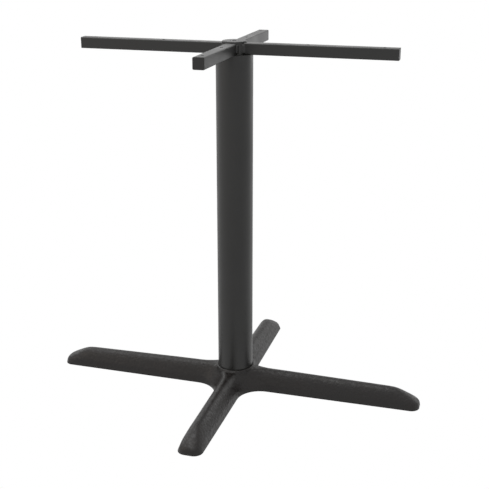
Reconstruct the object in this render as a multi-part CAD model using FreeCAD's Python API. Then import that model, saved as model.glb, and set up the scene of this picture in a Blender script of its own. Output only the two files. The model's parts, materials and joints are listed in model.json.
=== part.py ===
import FreeCAD, Part
import math
import os

# Table base: a cast cross foot, a round tube column and a top of four square bars
# round a crown boss, held together by one tie bolt, with a levelling glide under
# each end of the foot.
# Units are millimetres. +X runs along the long bars, +Z is up, and the origin
# is on the floor under the middle of the column.

V = FreeCAD.Vector
UP = V(0, 0, 1)

# Whole part
TOP_HEIGHT = 730.0          # floor to the face that carries the table top
FLOOR_GAP = 2.0             # the rim of the casting stands this far off the floor

# Cross foot casting
REACH_X = 397.0             # middle to the nose of a long arm
REACH_Y = 312.0             # middle to the nose of a short arm
ARM_HUB_HALF = 27.0         # half width at the rim, carried in to the middle
ARM_NOSE_HALF = 25.0        # half width at the rim, at the nose
ARM_DRAFT_DEG = 26.0        # lean of the flanks
HUB_HEIGHT = 41.5           # rim to the flat top of the hub
CREST_FALL_DEG = 1.2        # the crest falls this gently from the hub to the end slope
CREST_BLEND = 20.0          # and eases into that fall over this length, twice
CREST_MARGIN = 6.0          # level crest beyond the hub blends, twice
NOSE_HEIGHT = 9.0
NOSE_SLOPE = 50.0           # length of the end slope
NOSE_LEAN = 4.0             # the end face leans back this far over the hub height
SLOPE_BLEND_R = 26.0
HUB_CORNER_R = 50.0         # plan radius between two arms at the rim
HUB_CREST_R = 68.0          # and at the crest
NOSE_CORNER_R = 18.0
NOSE_CREST_R = 8.0
CREST_EDGE_R = 7.5          # soft edge of the crest and the nose
CREASE_DEG = 15.0           # edges sharper than this are softened
WALL = 6.0
RIB = 5.0
RIB_LIFT = 12.0             # rim to the lower edge of a rib
LONG_RIBS = (135.0, 238.0)  # middle to each rib
SHORT_RIBS = (106.0, 187.0)

# Column seat on the hub
COLLAR_WIDTH = 4.0
COLLAR_HEIGHT = 4.0
COLLAR_ROOT = 14.0          # the collar runs down this far into the hub
COLLAR_EDGE = 1.6
SEAT_DEPTH = 6.0
SEAT_CLEAR = 0.1            # on the radius, outside and inside the tube
HUB_BOSS_DIA = 46.0
HUB_BOSS_DEPTH = 22.0       # top of the hub to the underside of the boss

# Column
COLUMN_DIA = 73.0
COLUMN_WALL = 2.0

# Crossed bar top
BAR = 22.0
BAR_WALL = 2.0
BAR_CORNER_R = 2.2
LONG_BAR = 636.0            # over the end plugs
SHORT_BAR = 428.0
PLUG_HEAD = 2.0
PLUG_SPIGOT = 14.0
PLUG_CLEAR = 0.1
PLUG_WALL = 1.6
CAP_PLATE = 3.0
CAP_SPIGOT = 9.0
CROWN_DIA = 48.0
CROWN_RISE = 3.0            # the crown boss stands this far above the bars
CROWN_EDGE = 0.8
WELD = 4.0                  # leg of a bead along bar and boss
WELD_BULGE = 0.8
SCREW_HOLE = 6.5
LONG_HOLES = (28.0, 173.0)  # from the end of the bar
SHORT_HOLES = (22.0, 132.0)

# Tie bolt down the middle
TIE_DIA = 10.0
TIE_HOLE = 10.6
TIE_HEAD_DIA = 16.0
TIE_HEAD_HEIGHT = 10.0
TIE_HEAD_CLEAR = 0.4
TIE_SOCKET = 8.0
TIE_SOCKET_DEPTH = 5.0
TIE_TAIL = 4.0              # thread left below the nut
NUT_WIDTH = 16.0
NUT_HEIGHT = 8.4

# Levelling glides
GLIDE_INSET = 60.0          # nose to the middle of the glide
GLIDE_BOSS_DIA = 20.0
GLIDE_STEM_DIA = 8.0
GLIDE_STEM_CLEAR = 0.05
GLIDE_STEM_LENGTH = 20.0    # inside the boss when screwed home
GLIDE_HOLE_END = 1.0
GLIDE_PAD_WIDTH = 24.0      # hexagonal pad, turned by hand or spanner
GLIDE_PAD_HEIGHT = 8.0
GLIDE_HEAD = 13.0           # hexagon head of the stem, moulded into the pad
GLIDE_HEAD_HEIGHT = 5.3
GLIDE_GAP = 0.3

DRAFT = math.tan(math.radians(ARM_DRAFT_DEG))
HUB_TOP = FLOOR_GAP + HUB_HEIGHT
CREST_HALF = ARM_HUB_HALF - HUB_HEIGHT * DRAFT
NOSE_HALF = ARM_NOSE_HALF - HUB_HEIGHT * DRAFT
CREST_EDGE_LIMIT = NOSE_HALF / math.tan(math.radians(45 - ARM_DRAFT_DEG / 2))
CREST_SPAN = CREST_HALF + HUB_CREST_R + CREST_MARGIN
CREST_KNEE = CREST_SPAN + CREST_MARGIN + CREST_BLEND
COLLAR_DIA = COLUMN_DIA + 2 * (SEAT_CLEAR + COLLAR_WIDTH)
COLLAR_TOP = HUB_TOP + COLLAR_HEIGHT
SEAT_Z = COLLAR_TOP - SEAT_DEPTH
BAR_Z = TOP_HEIGHT - BAR
CAP_Z = BAR_Z - CAP_PLATE
CROWN_TOP = TOP_HEIGHT + CROWN_RISE
TIE_HEAD_Z = CROWN_TOP - TIE_HEAD_HEIGHT
HUB_BOSS_Z = HUB_TOP - HUB_BOSS_DEPTH
NUT_Z = HUB_BOSS_Z - NUT_HEIGHT
COLUMN_BORE = COLUMN_DIA - 2 * COLUMN_WALL
GLIDE_HEAD_Z = GLIDE_PAD_HEIGHT - GLIDE_HEAD_HEIGHT
GLIDE_BOSS_Z = GLIDE_PAD_HEIGHT + GLIDE_GAP
GLIDE_STEM_TOP = GLIDE_BOSS_Z + GLIDE_STEM_LENGTH

# Each side: where its foot arm and its bar end, the screw holes and the ribs
LONG_SIDE = (REACH_X, LONG_BAR / 2, LONG_HOLES, LONG_RIBS)
SHORT_SIDE = (REACH_Y, SHORT_BAR / 2, SHORT_HOLES, SHORT_RIBS)
SIDES = (("right", 0, *LONG_SIDE), ("back", 90, *SHORT_SIDE),
         ("left", 180, *LONG_SIDE), ("front", 270, *SHORT_SIDE))


def cylinder(dia, z0, z1, x=0.0):
    return Part.makeCylinder(dia / 2, z1 - z0, V(x, 0, z0))


def box(x0, x1, y0, y1, z0, z1):
    return Part.makeBox(x1 - x0, y1 - y0, z1 - z0, V(x0, y0, z0))


def top_rim(shape):
    """The round edges at the very top of a turned piece."""
    return [e for e in shape.Edges if e.Closed and e.BoundBox.ZMin > shape.BoundBox.ZMax - 0.1]


def hexagon(width, z0, z1, x=0.0):
    corner = width / 2 / math.cos(math.radians(30))
    turns = [math.radians(60 * i) for i in range(7)]
    points = [V(x + corner * math.cos(t), corner * math.sin(t), z0) for t in turns]
    return Part.Face(Part.makePolygon(points)).extrude(UP * (z1 - z0))


def spun(shape, degrees):
    copy = shape.copy()
    copy.rotate(V(0, 0, 0), UP, degrees)
    return copy


def rounded_edges(points, radii):
    """Closed run of edges through the corners, each rounded with its own radius."""
    count = len(points)
    starts = []
    mids = []
    ends = []
    for i, corner in enumerate(points):
        before = (points[i - 1] - corner).normalize()
        after = (points[(i + 1) % count] - corner).normalize()
        half = before.getAngle(after) / 2
        reach = radii[i] / math.tan(half)
        depth = radii[i] / math.sin(half) - radii[i]
        starts.append(corner + before * reach)
        mids.append(corner + (before + after).normalize() * depth)
        ends.append(corner + after * reach)
    edges = []
    for i in range(count):
        if radii[i] > 0:
            edges.append(Part.Arc(starts[i], mids[i], ends[i]).toShape())
        edges.append(Part.LineSegment(ends[i], starts[(i + 1) % count]).toShape())
    return edges


def rounded_face(points, radii):
    return Part.Face(Part.Wire(rounded_edges(points, radii)))


def cross_edges(z, inset):
    """Plan outline of the foot at one height, set in from the outer skin."""
    rise = (z - FLOOR_GAP) / HUB_HEIGHT
    shrink = inset + (z - FLOOR_GAP) * DRAFT
    hub = ARM_HUB_HALF - shrink
    taper_x = (ARM_HUB_HALF - ARM_NOSE_HALF) / REACH_X
    taper_y = (ARM_HUB_HALF - ARM_NOSE_HALF) / REACH_Y
    end_x = REACH_X - inset - NOSE_LEAN * rise
    end_y = REACH_Y - inset - NOSE_LEAN * rise
    meet_y = hub * (1 - taper_x) / (1 - taper_x * taper_y)
    meet_x = hub - taper_y * meet_y
    hub_r = HUB_CORNER_R + (HUB_CREST_R - HUB_CORNER_R) * rise + inset
    nose_r = 0 if inset else NOSE_CORNER_R + (NOSE_CREST_R - NOSE_CORNER_R) * rise
    quarter = [(end_x, hub - taper_x * end_x), (meet_x, meet_y), (hub - taper_y * end_y, end_y)]
    points = []
    for side_x, side_y in ((1, 1), (-1, 1), (-1, -1), (1, -1)):
        corners = [V(side_x * x, side_y * y, z) for x, y in quarter]
        if side_x * side_y < 0:
            corners.reverse()
        points += corners
    return rounded_edges(points, [nose_r, hub_r, nose_r] * 4)


def cross_body(z0, z1, inset):
    """Drafted cross between two heights, with true planes for its flanks."""
    low = cross_edges(z0, inset)
    high = cross_edges(z1, inset)
    faces = [Part.Face(Part.Wire(low)), Part.Face(Part.Wire(high))]
    for under, over in zip(low, high):
        if isinstance(under.Curve, Part.Circle):
            faces.append(Part.makeRuledSurface(under, over))
            continue
        a, b = [v.Point for v in under.Vertexes]
        d, c = [v.Point for v in over.Vertexes]
        faces.append(Part.Face(Part.makePolygon([a, b, c, d, a])))
    shell = Part.makeShell(faces)
    shell.sewShape()
    return Part.makeSolid(shell)


def crest_block(reach, inset):
    """Everything under the crest line of one pair of arms, along X."""
    low = FLOOR_GAP - WALL
    level = HUB_TOP - inset
    nose = FLOOR_GAP + NOSE_HEIGHT - inset
    slope = reach - NOSE_SLOPE
    fall = math.radians(CREST_FALL_DEG)
    crest = level - (slope - CREST_KNEE) * math.tan(fall)
    right = [(reach, low), (reach, nose), (slope, crest), (CREST_KNEE, level)]
    left = [(-x, z) for x, z in reversed(right)]
    corners = [V(x, -CREST_SPAN, z) for x, z in right + left]
    radii = [0, 0, 0, 0] if inset else [0, 0, SLOPE_BLEND_R, CREST_BLEND / math.tan(fall / 2)]
    return rounded_face(corners, radii + radii[::-1]).extrude(V(0, 2 * CREST_SPAN, 0))


def under_crest(inset):
    return crest_block(REACH_X, inset).fuse(spun(crest_block(REACH_Y, inset), 90))


def crease_edges(body):
    """Edges of the crest, the end slopes and the noses."""
    found = []
    for edge in body.Edges:
        middle = edge.valueAt((edge.FirstParameter + edge.LastParameter) / 2)
        if middle.z < FLOOR_GAP + NOSE_HEIGHT - NOSE_LEAN:
            continue
        normals = []
        for face in body.ancestorsOfType(edge, Part.Face):
            u, v = face.Surface.parameter(middle)
            normals.append(face.normalAt(u, v))
        if math.degrees(normals[0].getAngle(normals[1])) > CREASE_DEG:
            found.append(edge)
    return found


def foot_casting():
    skin = cross_body(FLOOR_GAP, HUB_TOP + WALL, 0.0).common(under_crest(0.0))
    skin = skin.removeSplitter()
    skin = skin.makeFillet(min(CREST_EDGE_R, CREST_EDGE_LIMIT), crease_edges(skin))
    collar = cylinder(COLLAR_DIA, HUB_TOP - COLLAR_ROOT, COLLAR_TOP)
    skin = skin.fuse(collar.makeChamfer(COLLAR_EDGE, top_rim(collar)))

    hollow = cross_body(FLOOR_GAP - WALL, HUB_TOP + WALL, WALL).common(under_crest(WALL))
    hollow = hollow.cut(cylinder(HUB_BOSS_DIA, HUB_BOSS_Z, HUB_TOP))
    for name, angle, reach, bar_end, holes, ribs in SIDES:
        solid = [cylinder(GLIDE_BOSS_DIA, GLIDE_BOSS_Z, HUB_TOP, reach - GLIDE_INSET)]
        for x in ribs:
            solid.append(box(x - RIB / 2, x + RIB / 2, -ARM_HUB_HALF, ARM_HUB_HALF,
                             FLOOR_GAP + RIB_LIFT, HUB_TOP))
        for piece in solid:
            hollow = hollow.cut(spun(piece, angle))
    foot = skin.cut(hollow)

    groove = cylinder(COLUMN_DIA + 2 * SEAT_CLEAR, SEAT_Z, COLLAR_TOP)
    groove = groove.cut(cylinder(COLUMN_BORE - 2 * SEAT_CLEAR, SEAT_Z, COLLAR_TOP))
    foot = foot.cut(groove).cut(cylinder(TIE_HOLE, HUB_BOSS_Z, COLLAR_TOP))
    for name, angle, reach, bar_end, holes, ribs in SIDES:
        hole = cylinder(GLIDE_STEM_DIA + 2 * GLIDE_STEM_CLEAR, GLIDE_BOSS_Z,
                        GLIDE_STEM_TOP + GLIDE_HOLE_END, reach - GLIDE_INSET)
        foot = foot.cut(spun(hole, angle))
    return foot


def column_tube():
    return cylinder(COLUMN_DIA, SEAT_Z, CAP_Z).cut(cylinder(COLUMN_BORE, SEAT_Z, CAP_Z))


def square_bar(width, corner_r, x0, x1):
    """Square bar along X on the centre line of the crossed top."""
    half = width / 2
    middle = TOP_HEIGHT - BAR / 2
    corners = [(-half, -half), (half, -half), (half, half), (-half, half)]
    face = rounded_face([V(x0, y, middle + z) for y, z in corners], [corner_r] * 4)
    return face.extrude(V(x1 - x0, 0, 0))


def bar_arm(bar_end, holes):
    """Square tube from the crown boss, its end coped to the boss."""
    end = bar_end - PLUG_HEAD
    tube = square_bar(BAR, BAR_CORNER_R, 0, end)
    tube = tube.cut(square_bar(BAR - 2 * BAR_WALL, 0, 0, end))
    for inset in holes:
        tube = tube.cut(cylinder(SCREW_HOLE, BAR_Z, TOP_HEIGHT, bar_end - inset))
    return tube.cut(cylinder(CROWN_DIA, BAR_Z, TOP_HEIGHT))


def end_plug(bar_end):
    seat = bar_end - PLUG_HEAD
    head = square_bar(BAR, BAR_CORNER_R, seat, bar_end)
    width = BAR - 2 * BAR_WALL - 2 * PLUG_CLEAR
    spigot = square_bar(width, 0, seat - PLUG_SPIGOT, seat)
    spigot = spigot.cut(square_bar(width - 2 * PLUG_WALL, 0, seat - PLUG_SPIGOT, seat))
    return head.fuse(spigot)


def crown_boss():
    """Boss between the bars, the plate under them and the spigot in the tube."""
    boss = cylinder(CROWN_DIA, CAP_Z, CROWN_TOP)
    boss = boss.makeChamfer(CROWN_EDGE, top_rim(boss))
    boss = boss.fuse(cylinder(COLUMN_DIA, CAP_Z, BAR_Z))
    spigot = cylinder(COLUMN_BORE - 2 * SEAT_CLEAR, CAP_Z - CAP_SPIGOT, CAP_Z)
    boss = boss.fuse(spigot).removeSplitter()
    boss = boss.cut(cylinder(TIE_HOLE, CAP_Z - CAP_SPIGOT, CROWN_TOP))
    return boss.cut(cylinder(TIE_HEAD_DIA + 2 * TIE_HEAD_CLEAR, TIE_HEAD_Z, CROWN_TOP))


def weld_bead(side):
    """Upright bead where one flank of a bar meets the crown boss."""
    flank = BAR / 2
    radius = CROWN_DIA / 2
    meet = math.sqrt(radius ** 2 - flank ** 2)
    turn = math.asin(flank / radius) + WELD / radius
    z0 = BAR_Z + BAR_CORNER_R
    root = V(meet, flank, z0)
    on_bar = V(meet + WELD, flank, z0)
    on_boss = V(radius * math.cos(turn), radius * math.sin(turn), z0)
    crown = (on_bar + on_boss) / 2 + (on_bar + on_boss - root * 2).normalize() * WELD_BULGE
    inside = V(meet - WELD, flank, z0)
    outline = Part.makePolygon([inside, on_bar, crown, on_boss, inside])
    bead = Part.Face(outline).extrude(UP * (BAR - 2 * BAR_CORNER_R))
    bead = bead.cut(cylinder(CROWN_DIA, BAR_Z, TOP_HEIGHT))
    return bead if side > 0 else bead.mirror(V(0, 0, 0), V(0, 1, 0))


def tie_bolt():
    bolt = cylinder(TIE_DIA, NUT_Z - TIE_TAIL, TIE_HEAD_Z)
    bolt = bolt.fuse(cylinder(TIE_HEAD_DIA, TIE_HEAD_Z, CROWN_TOP))
    return bolt.cut(hexagon(TIE_SOCKET, CROWN_TOP - TIE_SOCKET_DEPTH, CROWN_TOP))


def tie_nut():
    nut = hexagon(NUT_WIDTH, NUT_Z, HUB_BOSS_Z)
    return nut.cut(cylinder(TIE_DIA, NUT_Z, HUB_BOSS_Z))


def glide_stem(x):
    """Plain stem on a hexagon head, which is moulded into the pad."""
    stem = cylinder(GLIDE_STEM_DIA, GLIDE_PAD_HEIGHT, GLIDE_STEM_TOP, x)
    return stem.fuse(hexagon(GLIDE_HEAD, GLIDE_HEAD_Z, GLIDE_PAD_HEIGHT, x))


def glide_pad(x):
    pad = hexagon(GLIDE_PAD_WIDTH, 0, GLIDE_PAD_HEIGHT, x)
    return pad.cut(hexagon(GLIDE_HEAD, GLIDE_HEAD_Z, GLIDE_PAD_HEIGHT, x))


def save(name, shape):
    if not shape.isValid():
        raise ValueError(name + " is not a valid shape")
    shape.exportStep("parts/" + name + ".step")


def main():
    os.makedirs("parts", exist_ok=True)
    save("foot_casting", foot_casting())
    save("column_tube", column_tube())
    save("crown_boss", crown_boss())
    save("tie_bolt", tie_bolt())
    save("tie_nut", tie_nut())
    beads = []
    for name, angle, reach, bar_end, holes, ribs in SIDES:
        save("bar_" + name, spun(bar_arm(bar_end, holes), angle))
        save("end_plug_" + name, spun(end_plug(bar_end), angle))
        save("glide_stem_" + name, spun(glide_stem(reach - GLIDE_INSET), angle))
        save("glide_pad_" + name, spun(glide_pad(reach - GLIDE_INSET), angle))
        beads += [spun(weld_bead(side), angle) for side in (-1, 1)]
    save("bar_welds", Part.makeCompound(beads))


main()
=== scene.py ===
"""Looks of a black table base: cast cross foot, tube column and four square bars."""

import json
import math

import bmesh
import bpy
from mathutils import Matrix, Vector
from mathutils.bvhtree import BVHTree
from mathutils.kdtree import KDTree


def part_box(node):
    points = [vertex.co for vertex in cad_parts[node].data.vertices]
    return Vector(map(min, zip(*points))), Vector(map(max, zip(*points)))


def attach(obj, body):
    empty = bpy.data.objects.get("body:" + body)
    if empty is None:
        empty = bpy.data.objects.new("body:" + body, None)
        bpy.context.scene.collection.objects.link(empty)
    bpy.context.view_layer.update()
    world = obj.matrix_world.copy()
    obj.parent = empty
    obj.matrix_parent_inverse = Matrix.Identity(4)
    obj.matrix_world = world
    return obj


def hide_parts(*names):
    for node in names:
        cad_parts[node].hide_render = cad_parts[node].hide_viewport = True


bl_info = {
    "name": "Cross foot table base",
    "version": (1, 0, 0),
    "blender": (4, 5, 0),
    "location": "View3D > Sidebar > Table base",
    "description": "Builds the finishes, soft casting, welds, glides and studio of a table base",
    "category": "Object",
}

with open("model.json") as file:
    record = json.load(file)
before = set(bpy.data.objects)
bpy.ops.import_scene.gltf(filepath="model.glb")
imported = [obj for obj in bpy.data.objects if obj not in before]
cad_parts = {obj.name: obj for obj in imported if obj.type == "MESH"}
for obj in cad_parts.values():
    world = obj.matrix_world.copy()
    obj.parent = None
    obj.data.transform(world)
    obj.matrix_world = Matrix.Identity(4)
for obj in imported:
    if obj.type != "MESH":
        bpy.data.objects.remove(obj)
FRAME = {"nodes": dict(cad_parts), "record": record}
BASE = "base"
SIDES = ("right", "back", "left", "front")
MM = 0.001
MIX_FACTOR, MIX_FIRST, MIX_SECOND, MIX_RESULT = 0, 6, 7, 2  # sockets of a colour mix
MERGE_GAP = 1e-6  # vertices closer than this are one
SOFT_ANGLE = 40  # degrees, edges below it shade smooth on cast and moulded pieces
CRISP_ANGLE = 50  # the same on beads and threads


# Helpers


def linear(code):
    """Linear colour of an sRGB hex code."""
    parts = [int(code[i:i + 2], 16) / 255 for i in (1, 3, 5)]
    return [p / 12.92 if p <= 0.04045 else ((p + 0.055) / 1.055) ** 2.4 for p in parts]


def node_box(name):
    low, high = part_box(name)
    return Vector(low), Vector(high)


def add_node(tree, kind, values=None, **settings):
    """New shader node with settings, socket constants and socket links."""
    node = tree.nodes.new(kind)
    for name, value in settings.items():
        setattr(node, name, value)
    for name, value in (values or {}).items():
        if isinstance(value, bpy.types.NodeSocket):
            tree.links.new(value, node.inputs[name])
        else:
            node.inputs[name].default_value = value
    return node


def new_material(name):
    material = bpy.data.materials.new(name)
    material.use_nodes = True
    tree = material.node_tree
    tree.nodes.clear()
    place = add_node(tree, "ShaderNodeTexCoord").outputs["Object"]
    return material, tree, place


def noise(tree, place, size, detail=2.0, roughness=0.5):
    """Noise whose blotches are about this many metres across."""
    node = add_node(tree, "ShaderNodeTexNoise",
                    {"Vector": place, "Scale": 1 / size, "Detail": detail, "Roughness": roughness})
    return node.outputs["Fac"]


def spread(tree, value, low, high, start=0.3, end=0.7):
    node = add_node(tree, "ShaderNodeMapRange",
                    {"Value": value, "From Min": start, "From Max": end,
                     "To Min": low, "To Max": high})
    return node.outputs["Result"]


def mixed(tree, factor, first, second):
    node = add_node(tree, "ShaderNodeMix", {MIX_FACTOR: factor, MIX_FIRST: (*first, 1),
                                             MIX_SECOND: (*second, 1)}, data_type="RGBA")
    return node.outputs[MIX_RESULT]


def bump(tree, height, depth, normal=None):
    values = {"Height": height, "Distance": depth, "Strength": 1.0}
    if normal is not None:
        values["Normal"] = normal
    return add_node(tree, "ShaderNodeBump", values).outputs["Normal"]


def finish_material(tree, values):
    shader = add_node(tree, "ShaderNodeBsdfPrincipled", values)
    output = add_node(tree, "ShaderNodeOutputMaterial")
    tree.links.new(shader.outputs["BSDF"], output.inputs["Surface"])


def dress(name, material):
    """Puts one material on a node of the frame."""
    mesh = FRAME["nodes"][name].data
    mesh.materials.clear()
    mesh.materials.append(material)


def mesh_object(name, mesh, body, material, smooth_deg=None):
    """Finishes a new mesh as a visible piece that rides on one body."""
    bmesh.ops.remove_doubles(mesh, verts=mesh.verts, dist=1e-7)
    bmesh.ops.recalc_face_normals(mesh, faces=mesh.faces)
    data = bpy.data.meshes.new(name)
    mesh.to_mesh(data)
    mesh.free()
    piece = bpy.data.objects.new(name, data)
    bpy.context.scene.collection.objects.link(piece)
    data.materials.append(material)
    if smooth_deg is not None:
        data.shade_smooth()
        data.set_sharp_from_angle(angle=math.radians(smooth_deg))
    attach(piece, body)
    return piece


def ring_faces(mesh, rings):
    """Skin over a stack of closed rings, capped at both ends."""
    for low, high in zip(rings, rings[1:]):
        count = len(low)
        for i in range(count):
            j = (i + 1) % count
            mesh.faces.new((low[i], low[j], high[j], high[i]))
    mesh.faces.new(rings[0][::-1])
    mesh.faces.new(rings[-1])


# Settings


class TB_FinishSettings(bpy.types.PropertyGroup):
    """Colours and surface sizes of the finishes."""

    coat_colour: bpy.props.FloatVectorProperty(
        name="Coat colour", description="Powder coat on tube and bars", subtype="COLOR",
        size=3, min=0, max=1, default=linear("#232322"))
    cast_colour: bpy.props.FloatVectorProperty(
        name="Casting colour", description="Powder coat on the casting", subtype="COLOR",
        size=3, min=0, max=1, default=linear("#0c0b0b"))
    coat_roughness: bpy.props.FloatProperty(
        name="Coat roughness", description="Middle roughness of the satin coat",
        subtype="FACTOR", min=0, max=1, default=0.42)
    peel_size: bpy.props.FloatProperty(
        name="Orange peel size", description="Width of one ripple of the coat",
        unit="LENGTH", min=0.0002, max=0.01, default=1.4 * MM)
    peel_depth: bpy.props.FloatProperty(
        name="Orange peel depth", description="Height of the ripples of the coat",
        unit="LENGTH", min=0, max=0.001, default=0.03 * MM)
    grain_size: bpy.props.FloatProperty(
        name="Cast grain size", description="Width of the sand grain of the casting",
        unit="LENGTH", min=0.0002, max=0.01, default=1.8 * MM)
    grain_depth: bpy.props.FloatProperty(
        name="Cast grain depth", description="Height of the sand grain of the casting",
        unit="LENGTH", min=0, max=0.001, default=0.2 * MM)
    cast_ior: bpy.props.FloatProperty(
        name="Casting index", description="Refractive index of the duller coat on the foot",
        min=1.3, max=1.6, default=1.43)
    edge_softness: bpy.props.FloatProperty(
        name="Cast edge softness",
        description="How far the coat rounds the edges of the casting to the eye",
        unit="LENGTH", min=0, max=0.03, default=6 * MM)


class TB_CastingSettings(bpy.types.PropertyGroup):
    """How the sand mould softens the upper skin of the foot."""

    grid: bpy.props.FloatProperty(
        name="Grid", description="Spacing of the cuts that the skin is softened on",
        unit="LENGTH", min=0.002, max=0.02, default=5 * MM)
    reach: bpy.props.FloatProperty(
        name="Reach", description="Radius over which the skin is averaged",
        unit="LENGTH", min=0.001, max=0.04, default=23 * MM)
    swell: bpy.props.FloatProperty(
        name="Swell", description="How far the averaged skin is pushed out again",
        unit="LENGTH", min=0, max=0.005, default=2.8 * MM)
    fade: bpy.props.FloatProperty(
        name="Fade", description="Height over the rim over which the softening comes in",
        unit="LENGTH", min=0.001, max=0.04, default=12 * MM)
    hub_fade: bpy.props.FloatProperty(
        name="Hub fade", description="Distance from the collar over which it comes in",
        unit="LENGTH", min=0.001, max=0.05, default=26 * MM)
    hub_radius: bpy.props.FloatProperty(
        name="Hub radius", description="Round the column, where the collar stays crisp",
        unit="LENGTH", min=0.03, max=0.08, default=44 * MM)


class TB_WeldSettings(bpy.types.PropertyGroup):
    """Sizes of the weld beads between the bars and the crown boss."""

    boss_radius: bpy.props.FloatProperty(
        name="Boss radius", description="Radius of the boss that the bars are welded to",
        unit="LENGTH", min=0.01, max=0.05, default=24 * MM)
    leg: bpy.props.FloatProperty(
        name="Leg", description="How far the bead reaches along bar and boss",
        unit="LENGTH", min=0.001, max=0.008, default=3.9 * MM)
    bulge: bpy.props.FloatProperty(
        name="Bulge", description="How far the face of the bead swells out",
        unit="LENGTH", min=0, max=0.003, default=0.5 * MM)
    ripple: bpy.props.FloatProperty(
        name="Ripple", description="Length of one ripple of the bead",
        unit="LENGTH", min=0.0005, max=0.005, default=1.6 * MM)
    swell: bpy.props.FloatProperty(
        name="Swell", description="Height of one ripple of the bead",
        unit="LENGTH", min=0, max=0.002, default=0.28 * MM)


class TB_GlideSettings(bpy.types.PropertyGroup):
    """Sizes of the thread and the pad of the glides."""

    pitch: bpy.props.FloatProperty(
        name="Pitch", description="Thread pitch of the stem",
        unit="LENGTH", min=0.0005, max=0.003, default=1.25 * MM)
    depth: bpy.props.FloatProperty(
        name="Depth", description="Thread depth of the stem",
        unit="LENGTH", min=0.0001, max=0.002, default=0.6 * MM)
    corner: bpy.props.FloatProperty(
        name="Pad corner", description="Radius of the six corners of the pad",
        unit="LENGTH", min=0.0005, max=0.006, default=3 * MM)
    edge: bpy.props.FloatProperty(
        name="Pad edge", description="Soft edge round the pad",
        unit="LENGTH", min=0.0001, max=0.003, default=1.2 * MM)


class TB_StageSettings(bpy.types.PropertyGroup):
    """Light and ground of the studio."""

    power: bpy.props.FloatProperty(
        name="Light power", description="Scales every lamp", min=0, max=10, default=1.0)
    drop: bpy.props.FloatProperty(
        name="Ground drop", description="Gap that leaves the glides their travel",
        unit="LENGTH", min=0, max=0.1, default=9 * MM)


# Finishes


PAINTED_WARM_HIGHLIGHT_GAIN = (2.2, 1.6, 1.2)  # painted warm highlight: gain over the coat, per channel, for the random patches painted warmer
BEVEL_SAMPLES = 12
RING_SCALE = 700.0  # of the wave texture, about 0.45 mm from ring to ring


def coated_steel():
    """Powder coated steel: sprayed as dry powder and baked, it gives an even satin
    black with a faint orange peel that softens every highlight."""
    tb = bpy.context.scene.tb_finish
    material, tree, place = new_material("Satin powder coat on steel")
    peel = noise(tree, place, tb.peel_size, detail=1.0)
    drift = noise(tree, place, 60 * MM)
    rough = spread(tree, drift, tb.coat_roughness - 0.04, tb.coat_roughness + 0.05)
    colour = mixed(tree, drift, tb.coat_colour, [c * 1.25 for c in tb.coat_colour])
    finish_material(tree, {"Base Color": colour, "Roughness": rough,
                           "Normal": bump(tree, peel, tb.peel_depth)})
    return material


def coated_casting():
    """Powder coated grey iron: the coat follows the skin left by the sand mould, so
    the light breaks up on a fine grain and on hollows a few millimetres wide."""
    tb = bpy.context.scene.tb_finish
    material, tree, place = new_material("Satin powder coat on cast iron")
    grain = noise(tree, place, tb.grain_size, detail=3.0, roughness=0.6)
    hollows = noise(tree, place, 6 * MM)
    drift = noise(tree, place, 45 * MM)
    rough = spread(tree, hollows, tb.coat_roughness - 0.06, tb.coat_roughness + 0.14)
    # painted warm highlight: random patches of the casting coat are painted warmer to stand in for
    # warm reflected light
    warm_highlight_colour = [c * gain for c, gain in zip(tb.cast_colour, PAINTED_WARM_HIGHLIGHT_GAIN)]
    colour = mixed(tree, drift, tb.cast_colour, warm_highlight_colour)
    soft = add_node(tree, "ShaderNodeBevel", {"Radius": tb.edge_softness},
                    samples=BEVEL_SAMPLES)
    slow = bump(tree, hollows, 0.9 * MM, soft.outputs["Normal"])
    finish_material(tree, {"Base Color": colour, "Roughness": rough, "IOR": tb.cast_ior,
                           "Normal": bump(tree, grain, tb.grain_depth, slow)})
    return material


def plug_plastic():
    """Moulded polyethylene with a fine spark grain: duller and flatter than the coat,
    so the bar ends read as a separate soft black."""
    material, tree, place = new_material("Moulded polyethylene")
    grain = noise(tree, place, 0.5 * MM)
    cloud = noise(tree, place, 9 * MM)
    colour = mixed(tree, cloud, linear("#1d1d1d"), linear("#262625"))
    finish_material(tree, {"Base Color": colour, "Roughness": spread(tree, grain, 0.5, 0.62),
                           "Normal": bump(tree, grain, 0.04 * MM)})
    return material


def blackened_steel():
    """Black oxide on a turned steel head: thin, dark and slightly oily, with the
    turning rings left under it."""
    material, tree, place = new_material("Black oxide steel")
    rings = add_node(tree, "ShaderNodeTexWave",
                     {"Vector": place, "Scale": RING_SCALE, "Distortion": 0.4},
                     wave_type="RINGS", rings_direction="Z").outputs["Fac"]
    cloud = noise(tree, place, 4 * MM)
    finish_material(tree, {"Base Color": mixed(tree, cloud, linear("#2a2a2c"), linear("#39383a")),
                           "Metallic": 1.0, "Roughness": spread(tree, cloud, 0.3, 0.42),
                           "Normal": bump(tree, rings, 0.01 * MM)})
    return material


def zinc_steel():
    """Bright zinc plate on rolled thread and hexagon: a cool grey metal with faint
    yellow and blue blooms."""
    material, tree, place = new_material("Zinc plated steel")
    bloom = noise(tree, place, 6 * MM)
    fine = noise(tree, place, 0.6 * MM)
    finish_material(tree, {"Base Color": mixed(tree, bloom, linear("#b9c0c8"), linear("#cfc9b4")),
                           "Metallic": 1.0, "Roughness": spread(tree, bloom, 0.24, 0.38),
                           "Normal": bump(tree, fine, 0.01 * MM)})
    return material


def glide_nylon():
    """Moulded nylon: a dense black plastic with a slight sheen, dulled where it
    slides on the floor."""
    material, tree, place = new_material("Moulded nylon")
    scuff = noise(tree, place, 1.2 * MM, detail=3.0)
    finish_material(tree, {"Base Color": (*linear("#222222"), 1),
                           "Roughness": spread(tree, scuff, 0.4, 0.6),
                           "Normal": bump(tree, scuff, 0.02 * MM)})
    return material


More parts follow.
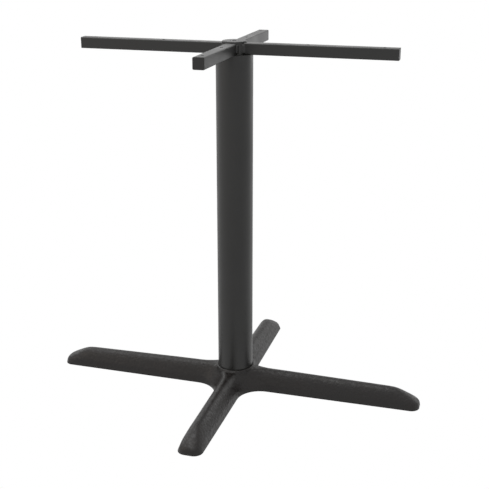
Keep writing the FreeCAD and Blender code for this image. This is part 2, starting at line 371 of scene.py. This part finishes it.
FINISHES = {}
FINISH_MAKERS = {
    "coated_casting": coated_casting,
    "coated_steel": coated_steel,
    "plug_plastic": plug_plastic,
    "blackened_steel": blackened_steel,
    "zinc_steel": zinc_steel,
    "glide_nylon": glide_nylon,
}


class TB_OT_finishes(bpy.types.Operator):
    """Makes the finishes and puts them on the nodes of the frame"""

    bl_idname = "tb.finishes"
    bl_label = "Finishes"

    def execute(self, context):
        for slot, maker in FINISH_MAKERS.items():
            FINISHES[slot] = maker()
        for entry in FRAME["record"]["subparts"]:
            dress(entry["node"], FINISHES[entry["material_slot"]])
        return {"FINISHED"}


class TB_OT_casting(bpy.types.Operator):
    """Builds the foot with the soft edges and rounded noses of a sand casting"""

    bl_idname = "tb.casting"
    bl_label = "Soft casting"

    CUT_SNAP = 0.01 * MM  # a vertex this near a cut is taken as on it
    RIM_BAND = 0.1 * MM  # height of the rim, which stays as it is
    RAY_LIFT = 0.2 * MM  # the sky is looked for from this far off the skin

    def execute(self, context):
        tb = context.scene.tb_casting
        low, high = node_box("foot_casting")
        mesh = bmesh.new()
        mesh.from_mesh(FRAME["nodes"]["foot_casting"].data)
        bmesh.ops.remove_doubles(mesh, verts=mesh.verts, dist=MERGE_GAP)
        for axis in range(3):
            self.cut(mesh, axis, low[axis], high[axis], tb.grid)
        skin = self.upper_skin(mesh, low.z, tb.hub_radius)
        self.soften(mesh, skin, low.z, tb)
        piece = mesh_object("foot_casting_soft", mesh, BASE,
                            FINISHES["coated_casting"], SOFT_ANGLE)
        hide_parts("foot_casting")
        return {"FINISHED"}

    def cut(self, mesh, axis, low, high, step):
        """Even cuts across one axis, so that the skin has vertices to soften."""
        normal = Vector([float(i == axis) for i in range(3)])
        for k in range(math.ceil(low / step), math.floor(high / step) + 1):
            whole = mesh.verts[:] + mesh.edges[:] + mesh.faces[:]
            bmesh.ops.bisect_plane(mesh, geom=whole, dist=self.CUT_SNAP,
                                   plane_co=normal * k * step, plane_no=normal)

    def soften(self, mesh, skin, floor, tb):
        """Averages the skin over a round patch and pushes it out again."""
        tree = KDTree(len(skin))
        for i, vert in enumerate(skin):
            tree.insert(vert.co, i)
        tree.balance()
        areas = [sum(face.calc_area() for face in vert.link_faces) for vert in skin]
        places = [vert.co.copy() for vert in skin]
        shares = []
        for vert, place in zip(skin, places):
            total, middle = 0.0, Vector((0, 0, 0))
            for near, i, gap in tree.find_range(place, tb.reach):
                pull = areas[i] * (1 - (gap / tb.reach) ** 2) ** 2
                total += pull
                middle += pull * near
            shares.append(min(1.0, (place.z - floor) / tb.fade,
                              (place.xy.length - tb.hub_radius) / tb.hub_fade))
            vert.co = place.lerp(middle / total, shares[-1])
        mesh.normal_update()
        for vert, share in zip(skin, shares):
            vert.co += vert.normal * tb.swell * share

    def upper_skin(self, mesh, floor, hub_radius):
        """Vertices above the rim, outside the hub, with only sky over them."""
        mesh.normal_update()
        tree = BVHTree.FromBMesh(mesh)
        skin = []
        for vert in mesh.verts:
            if vert.co.z > floor + self.RIM_BAND and vert.co.xy.length > hub_radius:
                start = vert.co + vert.normal * self.RAY_LIFT
                if tree.ray_cast(start, Vector((0, 0, 1)))[0] is None:
                    skin.append(vert)
        return skin


class TB_OT_welds(bpy.types.Operator):
    """Builds the rippled weld beads between the bars and the crown boss"""

    bl_idname = "tb.welds"
    bl_label = "Weld beads"

    STEPS_PER_RIPPLE = 8
    ARCH_STEPS = 8  # across the face of the bead
    RIPPLE_BOW = 0.45  # how far a ripple lags in the middle of the face, in ripples
    END_SIZE, END_RISE = 0.5, 5  # the bead starts at this share and grows at this rate

    def execute(self, context):
        low, high = node_box("bar_welds")
        flank = node_box("bar_front")[1].x
        for turn in range(4):
            for side in (-1, 1):
                mesh = self.bead(context.scene.tb_weld, flank, low.z, high.z)
                if side < 0:
                    mesh.transform(Matrix.Scale(-1, 4, (0, 1, 0)))
                mesh.transform(Matrix.Rotation(math.radians(90 * turn), 4, "Z"))
                name = "weld_bead_%d" % (2 * turn + (side + 3) // 2)
                piece = mesh_object(name, mesh, BASE,
                                    FINISHES["coated_steel"], CRISP_ANGLE)
                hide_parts("bar_welds")
        return {"FINISHED"}

    def bead(self, tb, flank, low, high):
        """One upright bead with a scalloped face, on the left flank of the right bar."""
        radius = tb.boss_radius
        turn = math.asin(flank / radius) + tb.leg / radius
        root = Vector((math.sqrt(radius ** 2 - flank ** 2), flank, 0))
        on_bar = root + Vector((tb.leg, 0, 0))
        on_boss = Vector((radius * math.cos(turn), radius * math.sin(turn), 0))
        outward = (on_bar + on_boss - 2 * root).normalized()
        steps = round((high - low) / tb.ripple * self.STEPS_PER_RIPPLE)
        mesh = bmesh.new()
        rings = []
        for k in range(steps + 1):
            z = low + (high - low) * k / steps
            full = min(1.0, self.END_SIZE + self.END_RISE * min(k, steps - k) / steps)
            ring = [mesh.verts.new(root + Vector((0, 0, z)))]
            for i in range(self.ARCH_STEPS + 1):
                share = i / self.ARCH_STEPS
                arch = math.sin(math.pi * share)
                phase = (z - low) / tb.ripple + self.RIPPLE_BOW * arch
                scallop = tb.swell * (1 - (phase % 1.0)) * arch
                out = (tb.bulge * arch + scallop) * full
                spot = root + (on_bar.lerp(on_boss, share) - root) * full + outward * out
                ring.append(mesh.verts.new(spot + Vector((0, 0, z))))
            rings.append(ring)
        ring_faces(mesh, rings)
        return mesh


class TB_OT_glides(bpy.types.Operator):
    """Builds the threaded glide stems and their soft hexagon pads"""

    bl_idname = "tb.glides"
    bl_label = "Glides"

    STEM_RADIUS = 4 * MM
    HEAD_CORNER, HEAD_EDGE = 0.6 * MM, 0.2 * MM
    PAD_LIP = 0.3 * MM  # the stem's head stands this far over the pad
    CROSS_TURN = 30  # degrees, hexagons of the short arms against the long ones
    AROUND = 32  # vertices round the thread
    STEPS_PER_PITCH = 8
    CORNER_STEPS = 4
    EDGE_MIDDLE = 0.3  # place of the middle line of a soft edge, as a share of it

    def execute(self, context):
        tb = context.scene.tb_glide
        for side in SIDES:
            body = "glide_" + side
            low, high = node_box("glide_stem_" + side)
            pad_low, pad_high = node_box("glide_pad_" + side)
            centre = (pad_low + pad_high) / 2
            turn = 0 if side in ("right", "left") else self.CROSS_TURN
            rim = pad_high.z - self.PAD_LIP
            mesh = bmesh.new()
            head = min(high.x - low.x, high.y - low.y) / 2
            self.hexagon(mesh, centre, low.z, pad_high.z, head,
                         self.HEAD_CORNER, self.HEAD_EDGE, turn)
            self.thread(mesh, centre, pad_high.z, high.z, tb.depth, tb.pitch)
            stem = mesh_object("glide_stem_%s_thread" % side, mesh, body,
                               FINISHES["zinc_steel"], CRISP_ANGLE)
            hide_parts("glide_stem_" + side)
            mesh = bmesh.new()
            half = min(pad_high.x - pad_low.x, pad_high.y - pad_low.y) / 2
            self.hexagon(mesh, centre, pad_low.z, rim, half, tb.corner, tb.edge, turn)
            pad = mesh_object("glide_pad_%s_moulded" % side, mesh, body,
                              FINISHES["glide_nylon"], SOFT_ANGLE)
            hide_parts("glide_pad_" + side)
        return {"FINISHED"}

    def thread(self, mesh, centre, low, high, depth, pitch):
        """Round bar whose skin rises and falls along a helix."""
        steps = max(2, round((high - low) / pitch * self.STEPS_PER_PITCH))
        rings = []
        for k in range(steps + 1):
            z = low + (high - low) * k / steps
            fade = min(1.0, (high - z) / pitch)
            ring = []
            for i in range(self.AROUND):
                phase = (z / pitch - i / self.AROUND) % 1.0
                groove = depth * abs(2 * phase - 1)
                r = self.STEM_RADIUS - max(groove, depth * (1 - fade))
                angle = 2 * math.pi * i / self.AROUND
                ring.append(mesh.verts.new((centre.x + r * math.cos(angle),
                                            centre.y + r * math.sin(angle), z)))
            rings.append(ring)
        ring_faces(mesh, rings)

    def hexagon(self, mesh, centre, low, high, half, corner, edge, turn):
        """Hexagonal prism with rounded corners and soft edges at both ends."""
        sixth = math.radians(60)
        bend = self.EDGE_MIDDLE * edge
        soft = [(0.0, edge), (bend, bend), (edge, 0.0)]
        levels = [(low + rise, inset) for rise, inset in soft]
        levels += [(high - rise, inset) for rise, inset in reversed(soft)]
        reach = (half - corner) / math.cos(sixth / 2)
        rings = []
        for z, inset in levels:
            ring = []
            for i in range(6):
                middle = sixth * i + math.radians(turn)
                for j in range(self.CORNER_STEPS + 1):
                    angle = middle + sixth * (j / self.CORNER_STEPS - 0.5)
                    ring.append(mesh.verts.new((
                        centre.x + reach * math.cos(middle) + (corner - inset) * math.cos(angle),
                        centre.y + reach * math.sin(middle) + (corner - inset) * math.sin(angle),
                        z)))
            rings.append(ring)
        ring_faces(mesh, rings)


# Studio


# The camera is fitted to the outline of the object in the photograph.
CAMERA_PLACE = (0.5388, -1.7711, 0.963)
CAMERA_TILT = 70.779
CAMERA_TURN = 16.318
CAMERA_LENS = 69.853
SENSOR_WIDTH = 36.0
WORLD_STRENGTH = 0.12  # of the mid grey world that matt surfaces see
GROUND_TONE = 0.1  # reflectance of the ground that matt surfaces see
GROUND_HALF = 6  # metres from the middle to each side

# Name, place, aim, side of the square, watts and colour of each lamp.
LAMPS = (
    ("Top box", (-0.5, -0.3, 2.6), (0, 0, 0.4), 1.7, 30, "#ffffff"),
    ("Left front box", (-1.9, -1.5, 1.3), (-0.1, 0, 0.1), 1.0, 5.8, "#ffe8d4"),
    ("Right back box", (1.4, 2.3, 0.75), (0, 0, 0.2), 1.2, 4.5, "#ffffff"),
    ("Left back box", (-2.0, 0.9, 1.4), (0, 0, 0.4), 0.9, 10.5, "#ffffff"),
    ("Back box", (-0.7, 2.3, 1.35), (0, 0, 0.3), 1.2, 1.2, "#ffffff"),
)


def background_rays(tree):
    """One for the rays that show the background, straight or in metal and glass."""
    path = add_node(tree, "ShaderNodeLightPath")
    shiny = add_node(tree, "ShaderNodeMath", {0: path.outputs["Is Glossy Ray"],
                                              1: path.outputs["Is Transmission Ray"]},
                     operation="MAXIMUM").outputs["Value"]
    return add_node(tree, "ShaderNodeMath", {0: path.outputs["Is Camera Ray"], 1: shiny},
                    operation="MAXIMUM").outputs["Value"]


class TB_OT_stage(bpy.types.Operator):
    """Sets up the white studio, its soft lamps and the camera"""

    bl_idname = "tb.stage"
    bl_label = "Studio"

    def execute(self, context):
        tb = context.scene.tb_stage
        scene = context.scene
        scene.view_settings.view_transform = "Standard"
        self.surround(scene)
        self.ground(tb.drop)
        for name, place, aim, size, power, colour in LAMPS:
            self.lamp(name, place, aim, size, power * tb.power, colour)
        data = bpy.data.cameras.new("Camera")
        camera = bpy.data.objects.new("Camera", data)
        scene.collection.objects.link(camera)
        camera.location = CAMERA_PLACE
        camera.rotation_euler = [math.radians(a) for a in (CAMERA_TILT, 0, CAMERA_TURN)]
        data.lens = CAMERA_LENS
        data.sensor_width = SENSOR_WIDTH
        scene.camera = camera
        return {"FINISHED"}

    def surround(self, scene):
        """World that shows as plain white, and lights matt surfaces dimly."""
        world = bpy.data.worlds.new("Studio")
        world.use_nodes = True
        tree = world.node_tree
        tree.nodes.clear()
        seen = background_rays(tree)
        dim = add_node(tree, "ShaderNodeBackground",
                       {"Color": (0.5, 0.5, 0.5, 1), "Strength": WORLD_STRENGTH})
        white = add_node(tree, "ShaderNodeBackground", {"Color": (1, 1, 1, 1), "Strength": 1.0})
        both = add_node(tree, "ShaderNodeMixShader", {0: seen})
        tree.links.new(dim.outputs["Background"], both.inputs[1])
        tree.links.new(white.outputs["Background"], both.inputs[2])
        output = add_node(tree, "ShaderNodeOutputWorld")
        tree.links.new(both.outputs["Shader"], output.inputs["Surface"])
        scene.world = world

    def ground(self, drop):
        """Ground that shows as plain white, straight or in metal, and keeps no shadow."""
        mesh = bmesh.new()
        bmesh.ops.create_grid(mesh, x_segments=1, y_segments=1, size=GROUND_HALF)
        mesh.transform(Matrix.Translation((0, 0, -drop)))
        data = bpy.data.meshes.new("Ground")
        mesh.to_mesh(data)
        mesh.free()
        floor = bpy.data.objects.new("Ground", data)
        bpy.context.scene.collection.objects.link(floor)
        material = bpy.data.materials.new("Pale ground")
        material.use_nodes = True
        tree = material.node_tree
        tree.nodes.clear()
        seen = background_rays(tree)
        matt = add_node(tree, "ShaderNodeBsdfDiffuse", {"Color": (*[GROUND_TONE] * 3, 1)})
        white = add_node(tree, "ShaderNodeEmission", {"Color": (1, 1, 1, 1), "Strength": 1.0})
        both = add_node(tree, "ShaderNodeMixShader", {0: seen})
        tree.links.new(matt.outputs["BSDF"], both.inputs[1])
        tree.links.new(white.outputs["Emission"], both.inputs[2])
        output = add_node(tree, "ShaderNodeOutputMaterial")
        tree.links.new(both.outputs["Shader"], output.inputs["Surface"])
        data.materials.append(material)

    def lamp(self, name, place, aim, size, power, colour):
        data = bpy.data.lights.new(name, "AREA")
        data.shape = "SQUARE"
        data.size = size
        data.energy = power
        data.color = linear(colour)
        lamp = bpy.data.objects.new(name, data)
        bpy.context.scene.collection.objects.link(lamp)
        lamp.location = place
        lamp.rotation_euler = (Vector(aim) - Vector(place)).to_track_quat("-Z", "Y").to_euler()


class TB_PT_panel(bpy.types.Panel):
    """Lists the steps and settings of the table base"""

    bl_idname = "TB_PT_panel"
    bl_label = "Table base"
    bl_space_type = "VIEW_3D"
    bl_region_type = "UI"
    bl_category = "Table base"

    def draw(self, context):
        scene = context.scene
        for group, operator in ((scene.tb_finish, "tb.finishes"), (scene.tb_casting, "tb.casting"),
                                (scene.tb_weld, "tb.welds"), (scene.tb_glide, "tb.glides"),
                                (scene.tb_stage, "tb.stage")):
            box = self.layout.box()
            for name in group.bl_rna.properties.keys():
                if name not in ("rna_type", "name"):
                    box.prop(group, name)
            box.operator(operator)


CLASSES = (TB_FinishSettings, TB_CastingSettings, TB_WeldSettings, TB_GlideSettings,
           TB_StageSettings, TB_OT_finishes, TB_OT_casting, TB_OT_welds, TB_OT_glides,
           TB_OT_stage, TB_PT_panel)
GROUPS = {"tb_finish": TB_FinishSettings, "tb_casting": TB_CastingSettings,
          "tb_weld": TB_WeldSettings, "tb_glide": TB_GlideSettings,
          "tb_stage": TB_StageSettings}


def register():
    for cls in CLASSES:
        bpy.utils.register_class(cls)
    for name, cls in GROUPS.items():
        setattr(bpy.types.Scene, name, bpy.props.PointerProperty(type=cls))


def unregister():
    for name in GROUPS:
        delattr(bpy.types.Scene, name)
    for cls in reversed(CLASSES):
        bpy.utils.unregister_class(cls)


def main():
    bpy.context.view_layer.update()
    register()
    bpy.ops.tb.finishes()
    bpy.ops.tb.casting()
    bpy.ops.tb.welds()
    bpy.ops.tb.glides()
    bpy.ops.tb.stage()
    bpy.context.view_layer.update()


if __name__ == "__main__":
    main()
